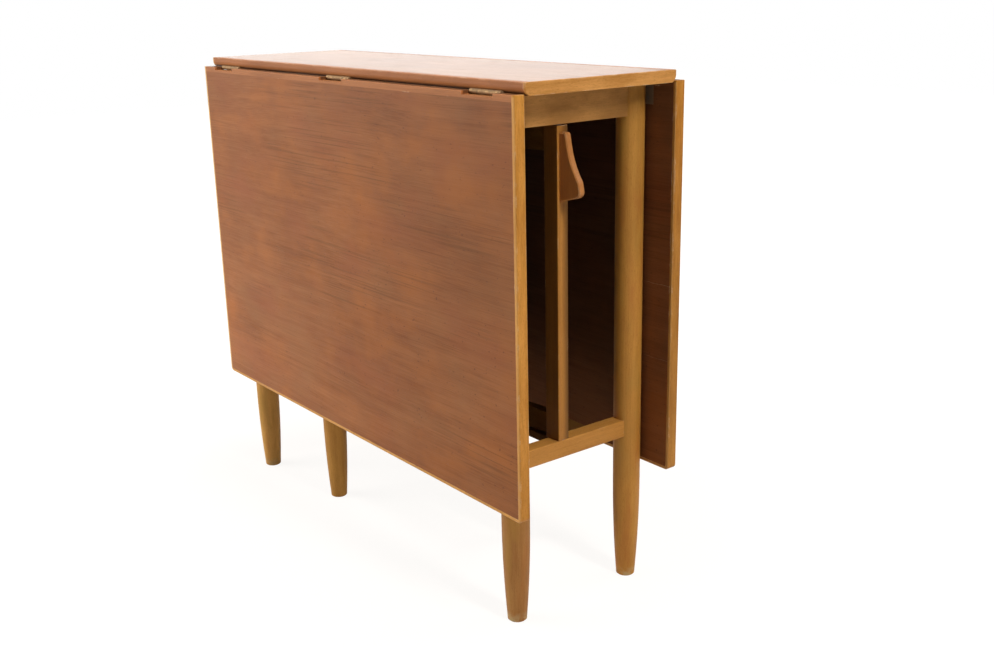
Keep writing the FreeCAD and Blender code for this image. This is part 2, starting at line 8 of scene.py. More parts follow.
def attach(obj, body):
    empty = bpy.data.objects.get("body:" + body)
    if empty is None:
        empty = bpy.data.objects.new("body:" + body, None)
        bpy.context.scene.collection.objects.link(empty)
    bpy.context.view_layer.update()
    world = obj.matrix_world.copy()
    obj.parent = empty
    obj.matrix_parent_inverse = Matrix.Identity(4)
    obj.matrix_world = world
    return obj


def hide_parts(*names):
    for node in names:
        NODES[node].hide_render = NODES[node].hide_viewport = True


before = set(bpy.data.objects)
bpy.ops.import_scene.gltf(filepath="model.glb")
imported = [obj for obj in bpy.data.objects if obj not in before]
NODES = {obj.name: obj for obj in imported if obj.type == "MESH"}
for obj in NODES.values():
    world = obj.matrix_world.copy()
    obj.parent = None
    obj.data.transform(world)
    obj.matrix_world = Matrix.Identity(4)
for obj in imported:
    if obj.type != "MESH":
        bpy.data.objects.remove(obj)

bl_info = {
    "name": "Drop-leaf table finishes",
    "version": (1, 0, 0),
    "blender": (4, 5, 0),
    "location": "View3D > Sidebar > Table",
    "description": "Teak, beech, brass and steel finishes, screws and a studio for a drop-leaf table",
    "category": "Object",
}


# ---- settings

def colour_setting(name, description, default):
    return bpy.props.FloatVectorProperty(
        name=name, description=description, subtype="COLOR", size=3, min=0.0, max=1.0, default=default
    )


def length_setting(name, description, default):
    return bpy.props.FloatProperty(
        name=name, description=description, subtype="DISTANCE", unit="LENGTH", min=0.0, default=default
    )


def amount_setting(name, description, default):
    return bpy.props.FloatProperty(name=name, description=description, subtype="FACTOR", min=0.0, default=default)


class TableWoodSettings(bpy.types.PropertyGroup):
    teak_light: colour_setting("Teak light", "Early wood of the teak veneer", (0.39, 0.145, 0.046))
    teak_mid: colour_setting("Teak", "Body colour of the teak veneer", (0.19, 0.058, 0.014))
    teak_dark: colour_setting("Teak dark", "Late wood and pores of the teak veneer", (0.1, 0.032, 0.014))
    top_light: colour_setting("Top light", "Light grain of the faded top", (0.39, 0.172, 0.057))
    top_dark: colour_setting("Top dark", "Dark grain of the faded top", (0.215, 0.084, 0.025))
    nosing_light: colour_setting("Nosing light", "Light grain of the solid teak edges", (0.54, 0.208, 0.068))
    nosing_dark: colour_setting("Nosing dark", "Dark grain of the solid teak edges", (0.28, 0.095, 0.028))
    beech_light: colour_setting("Beech light", "Light grain of the stained beech", (0.53, 0.235, 0.045))
    beech_dark: colour_setting("Beech dark", "Dark flecks of the stained beech", (0.29, 0.108, 0.017))
    edge_light: colour_setting("Edge strip light", "Light grain of the beech edge strips", (0.67, 0.3, 0.056))
    edge_dark: colour_setting("Edge strip dark", "Dark grain of the beech edge strips", (0.38, 0.142, 0.015))
    handle_light: colour_setting("Handle light", "Light grain of the handles", (0.6, 0.25, 0.065))
    handle_dark: colour_setting("Handle dark", "Dark grain of the handles", (0.34, 0.12, 0.03))
    worn: colour_setting("Worn wood", "Bare wood where an edge has lost its finish", (0.72, 0.52, 0.32))


class TableMetalSettings(bpy.types.PropertyGroup):
    brass: colour_setting("Brass", "Dulled brass of the hinges", (0.385, 0.24, 0.12))
    tarnish: colour_setting("Tarnish", "Brown tarnish on the hinges", (0.22, 0.15, 0.09))
    steel: colour_setting("Steel", "Dulled steel of the screws and pins", (0.36, 0.33, 0.29))
    slot_width: length_setting("Screw slot", "Width of the slot across a screw's head", 0.0008)
    slot_depth: length_setting("Slot depth", "Depth of the slot across a screw's head", 0.0007)


class TableStudioSettings(bpy.types.PropertyGroup):
    floor: colour_setting("Floor", "Colour of the floor", (0.66, 0.62, 0.58))
    floor_size: length_setting("Floor size", "Side of the floor", 14.0)
    lens: bpy.props.FloatProperty(name="Lens", description="Camera focal length in millimetres", min=1.0, default=42.38)
    key: amount_setting("Key light", "Strength of the lamps", 1.0)
    world: amount_setting("World light", "Strength of the light from the white surroundings", 0.06)


# ---- places on the table

ALONG, ACROSS, UP = 0, 1, 2


def box_of(name):
    """Lower and upper corner of a CAD piece of the folded table, in metres."""
    places = [vertex.co for vertex in NODES[name].data.vertices]
    return [[pick(place[axis] for place in places) for axis in (ALONG, ACROSS, UP)] for pick in (min, max)]


LEAF_LOW, LEAF_HIGH = box_of("leaf_rear_edge_band")
LEAF_INNER, LEAF_OUTER = LEAF_LOW[ACROSS], LEAF_HIGH[ACROSS]
LEAF_BOTTOM, LEAF_TOP = LEAF_LOW[UP], LEAF_HIGH[UP]
PANEL_END = box_of("leaf_rear_panel")[1][ALONG]
UNDERSIDE = box_of("top_panel")[0][UP]
RAIL_FACE = box_of("apron_near")[1][ALONG]
PLATE_TOP = UNDERSIDE - 0.003  # of the hinge plates on the leaves' inner faces; metal below it takes tarnish and painted shade


# ---- node helpers

FLOAT, VECTOR = "NodeSocketFloat", "NodeSocketVector"
NOISE_RANGE = (0.3, 0.7)  # where nearly all of a noise's values lie
HALF = (0.5, 0.5, 0.5)


def link_in(tree, socket, value):
    if isinstance(value, bpy.types.NodeSocket):
        tree.links.new(value, socket)
    else:
        socket.default_value = value


def node(tree, kind, inputs=None, **values):
    made = tree.nodes.new(kind)
    for key, value in values.items():
        setattr(made, key, value)
    for key, value in (inputs or {}).items():
        link_in(tree, made.inputs[key], value)
    return made


def maths(tree, operation, a, b=None, clamp=False):
    inputs = {0: a} if b is None else {0: a, 1: b}
    return node(tree, "ShaderNodeMath", inputs, operation=operation, use_clamp=clamp).outputs[0]


def product(tree, *values):
    result = values[0]
    for value in values[1:]:
        result = maths(tree, "MULTIPLY", result, value)
    return result


def inverse(tree, value):
    return maths(tree, "DIVIDE", 1.0, value)


def vector_maths(tree, operation, a, b):
    return node(tree, "ShaderNodeVectorMath", {0: a, 1: b}, operation=operation).outputs[0]


def times(tree, vector, factor):
    """A vector or a colour times one number."""
    return node(tree, "ShaderNodeVectorMath", {0: vector, "Scale": factor}, operation="SCALE").outputs[0]


def stretched(tree, vector, along, across):
    """A vector times one number along the grain and another across it."""
    scale = node(tree, "ShaderNodeCombineXYZ", {0: along, 1: across, 2: across})
    return vector_maths(tree, "MULTIPLY", vector, scale.outputs[0])


def remap(tree, value, low, high, to_low=0.0, to_high=1.0, smooth=False):
    made = node(
        tree,
        "ShaderNodeMapRange",
        {"Value": value, "From Min": low, "From Max": high, "To Min": to_low, "To Max": to_high},
        interpolation_type="SMOOTHSTEP" if smooth else "LINEAR",
        clamp=True,
    )
    return made.outputs["Result"]


def blend_colours(tree, factor, a, b):
    made = node(tree, "ShaderNodeMix", {0: factor}, data_type="RGBA")
    for socket, value in ((made.inputs[6], a), (made.inputs[7], b)):
        link_in(tree, socket, value if isinstance(value, bpy.types.NodeSocket) else (*value, 1.0))
    return made.outputs[2]


def darkened(tree, colour, mask, amount):
    """A colour, times an amount where the mask is 1."""
    return times(tree, colour, remap(tree, mask, 0.0, 1.0, 1.0, amount))


def shaded(colour, amount):
    return tuple(amount * value for value in colour)


def noise(tree, vector, scale=1.0, detail=2.0, roughness=0.5, distortion=0.0):
    made = node(
        tree,
        "ShaderNodeTexNoise",
        {"Vector": vector, "Scale": scale, "Detail": detail, "Roughness": roughness, "Distortion": distortion},
    )
    return made.outputs["Fac"]


def mapped(tree, vector, repeats, shift=(0.0, 0.0, 0.0)):
    return node(tree, "ShaderNodeMapping", {"Vector": vector, "Scale": repeats, "Location": shift}).outputs["Vector"]


def pattern(tree, vector, repeats, shift=(0.0, 0.0, 0.0), detail=2.0, roughness=0.5, distortion=0.0):
    """Noise with a number of repeats a metre along each axis."""
    return noise(tree, mapped(tree, vector, repeats, shift), 1.0, detail, roughness, distortion)


def coordinate(tree, place, axis):
    return node(tree, "ShaderNodeSeparateXYZ", {"Vector": place}).outputs[axis]


def from_middle(tree, place, axis):
    """How far a place is from the table's middle along one axis, on either side."""
    return maths(tree, "ABSOLUTE", coordinate(tree, place, axis))


def add_object(name, data):
    made = bpy.data.objects.new(name, data)
    bpy.context.scene.collection.objects.link(made)
    return made


def object_place(tree):
    return tree.nodes.new("ShaderNodeTexCoord").outputs["Object"]


# ---- shared effects

def group_input(tree, label, kind, default=None):
    socket = tree.interface.new_socket(label, in_out="INPUT", socket_type=kind)
    if default is not None:
        socket.default_value = default
    return socket


def shader_group(name, inputs, outputs):
    """A new shader node group; returns its tree, the outputs of its input node, and its output node."""
    tree = bpy.data.node_groups.new(name, "ShaderNodeTree")
    group_input(tree, "Vector", VECTOR)
    for label, default in inputs:
        group_input(tree, label, FLOAT, default)
    for label in outputs:
        tree.interface.new_socket(label, in_out="OUTPUT", socket_type=FLOAT)
    return tree, tree.nodes.new("NodeGroupInput").outputs, tree.nodes.new("NodeGroupOutput")


def put_out(tree, end, values):
    for label, value in values.items():
        tree.links.new(value, end.inputs[label])
    return tree


def make_grain_group():
    """Wood grain that runs along X: fine fibre, growth figure, pores and broad tone."""
    tree, start, end = shader_group(
        "Wood grain",
        [
            ("Fibre Width", 0.0012),
            ("Fibre Length", 0.05),
            ("Figure Width", 0.02),
            ("Figure Length", 0.5),
            ("Waviness", 0.4),
            ("Pore Length", 0.004),
            ("Pore Amount", 0.4),
        ],
        ["Fibre", "Figure", "Pores", "Tone", "Height"],
    )
    vector = start["Vector"]
    farthest_bend = 0.05
    pore_width, pore_edge, fewest_pores = 0.4, 14.0, 0.78

    drift = node(
        tree, "ShaderNodeTexNoise", {"Vector": mapped(tree, vector, (2.2, 5.0, 5.0)), "Scale": 1.0, "Detail": 1.0}
    )
    centred = vector_maths(tree, "SUBTRACT", drift.outputs["Color"], HALF)
    shift = times(tree, centred, product(tree, start["Waviness"], farthest_bend))
    bent = vector_maths(tree, "ADD", vector, shift)

    def strands(length, width, *shape):
        return noise(tree, stretched(tree, bent, inverse(tree, length), inverse(tree, width)), 1.0, *shape)

    fibre = strands(start["Fibre Length"], start["Fibre Width"], 3.0, 0.6)
    figure = strands(start["Figure Length"], start["Figure Width"], 3.0, 0.55, 0.3)
    pore_noise = strands(start["Pore Length"], product(tree, start["Fibre Width"], pore_width), 1.0, 0.5)
    threshold = maths(tree, "SUBTRACT", fewest_pores, product(tree, start["Pore Amount"], 0.2))
    above = maths(tree, "SUBTRACT", pore_noise, threshold)
    pores = maths(tree, "MULTIPLY", above, pore_edge, clamp=True)
    tone = pattern(tree, vector, (2.6, 4.0, 4.0), (0.3, 0.7, 0.1))
    height = maths(tree, "SUBTRACT", product(tree, fibre, 0.4), product(tree, pores, 0.7))
    return put_out(tree, end, {"Fibre": fibre, "Figure": figure, "Pores": pores, "Tone": tone, "Height": height})


def make_wear_group():
    """Worn edges and handling marks: a mask near convex edges, broken up by noise, and fine scratches."""
    tree, start, end = shader_group(
        "Edge wear", [("Edge Width", 0.002), ("Amount", 0.5), ("Patch Size", 0.02)], ["Edge", "Scuffs"]
    )
    vector = start["Vector"]
    patch_edge, fewest_patches = 9.0, 0.72
    rounded = node(tree, "ShaderNodeBevel", {"Radius": start["Edge Width"]}, samples=4)
    facing = node(
        tree,
        "ShaderNodeVectorMath",
        {0: rounded.outputs[0], 1: tree.nodes.new("ShaderNodeNewGeometry").outputs["Normal"]},
        operation="DOT_PRODUCT",
    ).outputs["Value"]
    edge = remap(tree, facing, 0.995, 0.88)
    patches = noise(tree, times(tree, vector, inverse(tree, start["Patch Size"])), 1.0, 4.0, 0.65)
    threshold = maths(tree, "SUBTRACT", fewest_patches, product(tree, start["Amount"], 0.3))
    broken = maths(tree, "MULTIPLY", maths(tree, "SUBTRACT", patches, threshold), patch_edge, clamp=True)
    scuffs = remap(tree, pattern(tree, vector, (18.0, 60.0, 60.0), detail=5.0, roughness=0.7), 0.58, 0.75)
    return put_out(tree, end, {"Edge": product(tree, edge, broken), "Scuffs": scuffs})


def make_fleck_group():
    """Short dark flecks and soft blotches, as stained beech has."""
    tree, start, end = shader_group(
        "Beech fleck", [("Fleck Length", 0.004), ("Blotch Size", 0.05)], ["Flecks", "Blotches"]
    )
    vector = start["Vector"]
    fleck_slimness, blotch_slimness = 5.0, 0.4
    along = inverse(tree, start["Fleck Length"])
    fine = stretched(tree, vector, along, product(tree, along, fleck_slimness))
    flecks = remap(tree, noise(tree, fine, detail=1.0), 0.58, 0.7)
    across = inverse(tree, start["Blotch Size"])
    broad = stretched(tree, vector, product(tree, across, blotch_slimness), across)
    blotches = noise(tree, broad, detail=3.0, roughness=0.55)
    return put_out(tree, end, {"Flecks": flecks, "Blotches": blotches})


GROUP_MAKERS = {"Wood grain": make_grain_group, "Edge wear": make_wear_group, "Beech fleck": make_fleck_group}


def shared_effect(tree, name, inputs):
    """Place a shared effect in a material; returns its outputs."""
    made = tree.nodes.new("ShaderNodeGroup")
    made.node_tree = bpy.data.node_groups.get(name) or GROUP_MAKERS[name]()
    for key, value in inputs.items():
        link_in(tree, made.inputs[key], value)
    return made.outputs


# ---- materials

GRAIN_TURNS = {"x": (0.0, 0.0, 0.0), "y": (0.0, 0.0, math.pi / 2), "z": (0.0, math.pi / 2, 0.0)}
PORE_STRENGTH = 0.55
WORN_STRENGTH = 0.8
SCUFF_ROUGHNESS = 0.08
MATT_ROUGHNESS = 0.4
COAT_ROUGHNESS = 0.3
WOOD_RELIEF = 0.0002
METAL_RELIEF = 0.00005
BRASS_ROUGHNESS, PIN_ROUGHNESS, SCREW_ROUGHNESS = 0.58, 0.3, 0.34
DULLEST_METAL = 0.75


def new_material(name):
    material = bpy.data.materials.new(name)
    material.use_nodes = True
    tree = material.node_tree
    tree.nodes.clear()
    shader = tree.nodes.new("ShaderNodeBsdfPrincipled")
    output = tree.nodes.new("ShaderNodeOutputMaterial")
    tree.links.new(shader.outputs[0], output.inputs[0])
    return material, tree, shader


def add_bump(tree, shader, height, distance):
    bump = node(tree, "ShaderNodeBump", {"Height": height, "Strength": 0.5, "Distance": distance})
    tree.links.new(bump.outputs[0], shader.inputs["Normal"])


def wood_material(
    name,
    grain,
    shift,
    *,
    light,
    dark,
    worn,
    fibre,
    figure,
    waviness,
    figure_weight,
    fibre_weight,
    tone_weight,
    blotch_weight,
    pore_amount,
    pores_colour=None,
    fleck_weight=0.0,
    contrast=0.1,
    roughness=(0.36, 0.5),
    coat=0.0,
    specular=0.18,
    wear=0.4,
    edge_width=0.0016,
    extra=None,
    matt=None,
):
    """Wood with grain, pores, blotches and worn edges.

    fibre and figure are each a width and a length. extra(tree, colour, place) may add marks and painted light or shade,
    and matt(tree, place) gives a mask of unpolished wood.
    """
    material, tree, shader = new_material(name)
    place = object_place(tree)
    turned = {"Vector": place, "Rotation": GRAIN_TURNS[grain], "Location": shift}
    vector = node(tree, "ShaderNodeMapping", turned).outputs["Vector"]
    grain_out = shared_effect(
        tree,
        "Wood grain",
        {
            "Vector": vector,
            "Fibre Width": fibre[0],
            "Fibre Length": fibre[1],
            "Figure Width": figure[0],
            "Figure Length": figure[1],
            "Waviness": waviness,
            "Pore Amount": pore_amount,
        },
    )
    fleck_out = shared_effect(tree, "Beech fleck", {"Vector": vector})
    wear_out = shared_effect(tree, "Edge wear", {"Vector": place, "Amount": wear, "Edge Width": edge_width})

    figure_part = product(tree, remap(tree, grain_out["Figure"], 0.32, 0.68), figure_weight)
    fibre_part = product(tree, remap(tree, grain_out["Fibre"], *NOISE_RANGE), fibre_weight)
    tone_part = product(tree, remap(tree, grain_out["Tone"], *NOISE_RANGE), tone_weight)
    blotch_part = product(tree, remap(tree, fleck_out["Blotches"], *NOISE_RANGE), blotch_weight)
    total = maths(tree, "ADD", maths(tree, "ADD", figure_part, fibre_part), maths(tree, "ADD", tone_part, blotch_part))
    weight = figure_weight + fibre_weight + tone_weight + blotch_weight
    lightness = remap(tree, total, contrast * weight, (1.0 - contrast) * weight)
    colour = blend_colours(tree, lightness, dark, light)
    pore_mask = product(tree, grain_out["Pores"], PORE_STRENGTH)
    colour = blend_colours(tree, pore_mask, colour, pores_colour or shaded(dark, 0.5))
    if fleck_weight:
        fleck_mask = product(tree, fleck_out["Flecks"], fleck_weight)
        colour = blend_colours(tree, fleck_mask, colour, shaded(dark, 0.75))
    if extra:
        colour = extra(tree, colour, place)
    colour = blend_colours(tree, product(tree, wear_out["Edge"], WORN_STRENGTH), colour, worn)
    tree.links.new(colour, shader.inputs["Base Color"])

    rough = remap(tree, grain_out["Fibre"], *NOISE_RANGE, roughness[1], roughness[0])
    rough = maths(tree, "ADD", rough, product(tree, wear_out["Scuffs"], SCUFF_ROUGHNESS))
    if matt:
        rough = maths(tree, "ADD", rough, product(tree, matt(tree, place), MATT_ROUGHNESS))
    tree.links.new(rough, shader.inputs["Roughness"])
    shader.inputs["Coat Weight"].default_value = coat
    shader.inputs["Coat Roughness"].default_value = COAT_ROUGHNESS
    shader.inputs["Specular IOR Level"].default_value = specular
    add_bump(tree, shader, grain_out["Height"], WOOD_RELIEF)
    return material


def teak(name, shift, grain="x", **changes):
    wood = bpy.context.scene.table_wood
    values = dict(
        light=wood.teak_light,
        dark=wood.teak_mid,
        pores_colour=wood.teak_dark,
        worn=wood.worn,
        fibre=(0.0011, 0.09),
        figure=(0.009, 0.4),
        waviness=0.45,
        figure_weight=0.22,
        fibre_weight=0.34,
        tone_weight=0.3,
        blotch_weight=0.3,
        pore_amount=0.6,
    )
    values.update(changes)
    return wood_material(name, grain, shift, **values)


def beech(name, grain, shift, **changes):
    wood = bpy.context.scene.table_wood
    values = dict(
        light=wood.beech_light,
        dark=wood.beech_dark,
        worn=wood.worn,
        fibre=(0.001, 0.03),
        figure=(0.012, 0.3),
        waviness=0.3,
        figure_weight=0.45,
        fibre_weight=0.35,
        tone_weight=0.3,
        blotch_weight=0.4,
        pore_amount=0.25,
        fleck_weight=0.35,
        roughness=(0.38, 0.52),
    )
    values.update(changes)
    return wood_material(name, grain, shift, **values)


def edge_strip(name, grain, shift, tint=(1.0, 1.0, 1.0)):
    """Beech strip on an edge of a board; the tint multiplies its colours."""
    wood = bpy.context.scene.table_wood
    return beech(
        name,
        grain,
        shift,
        light=tuple(a * b for a, b in zip(tint, wood.edge_light)),
        dark=tuple(a * b for a, b in zip(tint, wood.edge_dark)),
        fibre=(0.0012, 0.012),
        figure=(0.005, 0.06),
        fleck_weight=0.4,
        blotch_weight=0.8,
        contrast=0.2,
        wear=0.7,
        extra=strip_marks_and_highlight,
    )


def metal_material(name, colour, tarnish, roughness, tarnish_amount, painted_shade_below=0.0):
    """Metal with brushed streaks and patches of tarnish; below a height, on the plates and screws in the shade under
    the top, an even tarnish colour covers it as tarnish and painted shade.
    """
    material, tree, shader = new_material(name)
    place = object_place(tree)
    patches = remap(tree, noise(tree, place, 160.0, 4.0, 0.65), 0.62 - 0.3 * tarnish_amount, 0.78, smooth=True)
    streaks = pattern(tree, place, (120.0, 2600.0, 2600.0))
    base = blend_colours(tree, remap(tree, streaks, *NOISE_RANGE), shaded(colour, 0.88), colour)
    base = blend_colours(tree, patches, base, tarnish)
    if painted_shade_below:
        # painted shade: below this height the metal takes an even tarnish colour and the dullest roughness
        low = remap(tree, coordinate(tree, place, UP), painted_shade_below + 0.001, painted_shade_below)
        patches = maths(tree, "MAXIMUM", patches, low)
        base = blend_colours(tree, low, base, shaded(tarnish, 1.35))
    tree.links.new(base, shader.inputs["Base Color"])
    rough = maths(tree, "ADD", remap(tree, streaks, *NOISE_RANGE, roughness, roughness + 0.12), patches)
    tree.links.new(maths(tree, "MINIMUM", rough, DULLEST_METAL), shader.inputs["Roughness"])
    shader.inputs["Metallic"].default_value = 1.0
    add_bump(tree, shader, streaks, METAL_RELIEF)
    return material


def set_material(names, material):
    for name in names:
        for slot in NODES[name].material_slots:
            slot.material = material


# ---- marks, and painted light and shade

WARM = (0.4, 0.128, 0.026)
DULL = (0.27, 0.116, 0.042)
RUDDY = (0.29, 0.082, 0.03)
OLIVE = (0.4, 0.215, 0.042)
DARK_STREAK = (0.15, 0.055, 0.013)
ARRIS_HIGHLIGHT = (0.8, 0.47, 0.17)
PALE_FAR_END = (0.9, 0.66, 0.32)
SCUFFED_FOOT = (0.5, 0.37, 0.17)
ARRIS_START, ARRIS_FULL = 0.0013, 0.0003  # in from the edge
SCRATCHES = ((0.44, 0.34), (0.3335, 0.22))  # height and strength
SCRATCH_WIDTH = 0.0006


def underside(tree, place):
    """1 on the top's underside, 0 elsewhere."""
    return remap(tree, coordinate(tree, place, UP), UNDERSIDE + 0.0008, UNDERSIDE)


def inner_face(tree, place):
    """1 on a leaf's inner face, 0 elsewhere."""
    return remap(tree, from_middle(tree, place, ACROSS), LEAF_INNER + 0.0011, LEAF_INNER + 0.0003)


def inside(tree, place):
    """1 between the two ends of the table, 0 at its ends."""
    return remap(tree, from_middle(tree, place, ALONG), RAIL_FACE, RAIL_FACE - 0.01)


def scratch(tree, place, height):
    """1 along a thin level scratch near the end of a leaf's inner face."""
    shift = (height, 0.0, 0.0)
    wander = product(tree, pattern(tree, place, (45.0, 0.0, 0.0), shift), 0.004)
    offset = maths(tree, "SUBTRACT", maths(tree, "SUBTRACT", coordinate(tree, place, UP), wander), height)
    line = remap(tree, maths(tree, "ABSOLUTE", offset), SCRATCH_WIDTH, 0.0)
    broken = remap(tree, pattern(tree, place, (160.0, 0.0, 0.0), shift), 0.35, 0.55)
    ends = remap(tree, coordinate(tree, place, ALONG), 0.366, 0.376)
    return product(tree, line, broken, ends)


def underside_painted_shade(tree, colour, place):
    """Painted shade: the top's underside made darker."""
    return darkened(tree, colour, underside(tree, place), 0.5)


def nosing_painted_shade(tree, colour, place):
    """Painted shade under the rounded nose, in the gap above the leaf."""
    low = remap(tree, coordinate(tree, place, UP), UNDERSIDE + 0.0055, UNDERSIDE + 0.0025)
    # painted shade, darkest at the bottom of the nose
    return darkened(tree, colour, low, 0.15)


def strip_marks_and_highlight(tree, colour, place):
    """Painted highlight along the arrises, a darker lower half at the rear, and the paler strip at the far end."""
    depth, height = from_middle(tree, place, ACROSS), coordinate(tree, place, UP)
    outer = remap(tree, depth, LEAF_OUTER - ARRIS_START, LEAF_OUTER - ARRIS_FULL)
    inner = remap(tree, depth, LEAF_INNER + ARRIS_START, LEAF_INNER + ARRIS_FULL)
    below = remap(tree, height, UNDERSIDE + 0.0005, UNDERSIDE - 0.0005)
    # painted highlight: a pale line along the arrises, where the edges catch the light
    arris = product(tree, maths(tree, "MAXIMUM", outer, inner), below, 0.3)
    colour = blend_colours(tree, arris, colour, ARRIS_HIGHLIGHT)
    rear = maths(tree, "GREATER_THAN", coordinate(tree, place, ACROSS), 0.0)
    lower = product(tree, rear, remap(tree, height, 0.68, 0.4, smooth=True))
    colour = darkened(tree, colour, lower, 0.78)
    far_end = remap(tree, coordinate(tree, place, ALONG), 0.0015 - PANEL_END, -PANEL_END, 0.0, 0.3)
    return blend_colours(tree, far_end, colour, PALE_FAR_END)


def leaf_marks_and_painted_light(tree, colour, place):
    """Warm, dull and ruddy patches, clusters of thin dark streaks, painted light that falls off along and up the leaf,
    and painted shade on the inner face.
    """
    wood = bpy.context.scene.table_wood
    patches = pattern(tree, place, (8.0, 12.0, 12.0), (0.3, 0.2, 0.7), 3.0, 0.6)
    colour = blend_colours(tree, remap(tree, patches, 0.5, 0.7, 0.0, 0.6), colour, WARM)
    colour = blend_colours(tree, remap(tree, patches, 0.48, 0.32, 0.0, 0.4), colour, DULL)
    ruddy = pattern(tree, place, (6.0, 10.0, 10.0), (0.1, 0.5, 0.4), 2.0, 0.55)
    colour = blend_colours(tree, remap(tree, ruddy, 0.5, 0.75, 0.0, 0.5), colour, RUDDY)
    smudges = pattern(tree, place, (14.0, 7.0, 7.0), (0.6, 0.8, 0.2), 2.0, 0.55)
    colour = darkened(tree, colour, remap(tree, smudges, 0.52, 0.75), 0.94)
    streaks = pattern(tree, place, (4.0, 380.0, 380.0), (0.2, 0.4, 0.1), 1.5, 0.6, 0.2)
    clusters = pattern(tree, place, (3.5, 11.0, 11.0), (0.9, 0.1, 0.35))
    streak_mask = product(tree, remap(tree, streaks, 0.54, 0.62), remap(tree, clusters, 0.5, 0.6), 0.42)
    colour = blend_colours(tree, streak_mask, colour, DARK_STREAK)
    specks = pattern(tree, place, (160.0, 330.0, 330.0), detail=1.0)
    colour = blend_colours(tree, remap(tree, specks, 0.7, 0.78, 0.0, 0.5), colour, wood.teak_dark)

    height = coordinate(tree, place, UP)
    # painted light: a fall-off of the light, lighter towards the far end and lower down
    painted_light_along = remap(tree, coordinate(tree, place, ALONG), -0.4, 0.4, 1.14, 0.91)
    painted_light_up = remap(tree, height, LEAF_BOTTOM, LEAF_TOP, 1.04, 0.97)
    colour = times(tree, colour, product(tree, painted_light_along, painted_light_up))

    inner = inner_face(tree, place)
    # painted shade on the inner face
    colour = darkened(tree, colour, inner, 0.72)
    for scratch_height, strength in SCRATCHES:
        line = product(tree, scratch(tree, place, scratch_height), inner, strength)
        colour = blend_colours(tree, line, colour, wood.worn)
    # more painted shade on the inner face in the middle of the table, deepest higher up
    middle = remap(tree, from_middle(tree, place, ALONG), 0.385, 0.335)
    shade = remap(tree, height, 0.2, 0.5, 0.6, 1.0, smooth=True)
    return darkened(tree, colour, product(tree, inner, middle, shade), 0.36)


def hinge_strip_painted_shade(tree, colour, place):
    """Painted shade in the joint on the inner part of the strip's edge, and painted shade on the inner face."""
    inner = inner_face(tree, place)
    depth = remap(tree, from_middle(tree, place, ACROSS), LEAF_OUTER - 0.002, LEAF_OUTER - 0.004)
    upper = remap(tree, coordinate(tree, place, UP), UNDERSIDE - 0.003, UNDERSIDE - 0.001)
    # painted shade in the joint under the nose
    joint_shade = product(tree, maths(tree, "SUBTRACT", depth, inner, clamp=True), upper)
    colour = darkened(tree, colour, joint_shade, 0.35)
    # painted shade on the inner face
    return darkened(tree, colour, inner, 0.5)


def leg_marks_and_painted_shade(tree, colour, place):
    """Ruddy and olive stains, painted shade that makes the upper half slightly darker, and a scuffed pale foot."""
    height = coordinate(tree, place, UP)
    stains = pattern(tree, place, (38.0, 38.0, 9.0), (0.4, 0.1, 0.6), 3.0, 0.6)
    colour = blend_colours(tree, remap(tree, stains, 0.52, 0.7, 0.0, 0.5), colour, WARM)
    colour = blend_colours(tree, remap(tree, stains, 0.48, 0.3, 0.0, 0.6), colour, OLIVE)
    # painted shade: the upper half darker
    colour = darkened(tree, colour, remap(tree, height, 0.3, 0.65, smooth=True), 0.88)
    patches = remap(tree, noise(tree, place, 70.0, 3.0, 0.6), 0.42, 0.56)
    scuffed = product(tree, remap(tree, height, 0.016, 0.004), patches, 0.7)
    return blend_colours(tree, scuffed, colour, SCUFFED_FOOT)


def gate_leg_painted_shade(tree, colour, place):
    """Painted shade on a gate's leg, darker behind its leaf than below it."""
    behind = remap(tree, coordinate(tree, place, UP), LEAF_BOTTOM - 0.005, LEAF_BOTTOM + 0.065)
    return darkened(tree, colour, behind, 0.5)


def apron_marks(tree, colour, place):
    """The end rail's darker half, towards the rear legs."""
    return darkened(tree, colour, remap(tree, coordinate(tree, place, ACROSS), 0.0, 0.08, smooth=True), 0.82)


def post_painted_shade(tree, colour, place):
    """Painted shade: the post's sides and back kept darker than its face at the table's end."""
    behind_face = remap(tree, from_middle(tree, place, ALONG), RAIL_FACE + 0.0002, RAIL_FACE - 0.0008)
    return darkened(tree, colour, behind_face, 0.42)


def inside_painted_shade(tree, colour, place):
    """Painted shade on the members inside the table."""
    return darkened(tree, colour, inside(tree, place), 0.27)


# ---- screws

HEAD_FIT, SHANK_FIT = 0.985, 0.95  # share of the seat that a screw's head and shank take
USUAL_HEAD = 0.003  # head radius that the slot's width is for
SPIN_SEED = 5
SAME_CORNER = 1e-6
AXIS_ROUNDS = 20  # repeats that turn a first guess into a screw's long axis
RING_DEPTH = 2e-4  # how far from a screw's end its ring of corners reaches


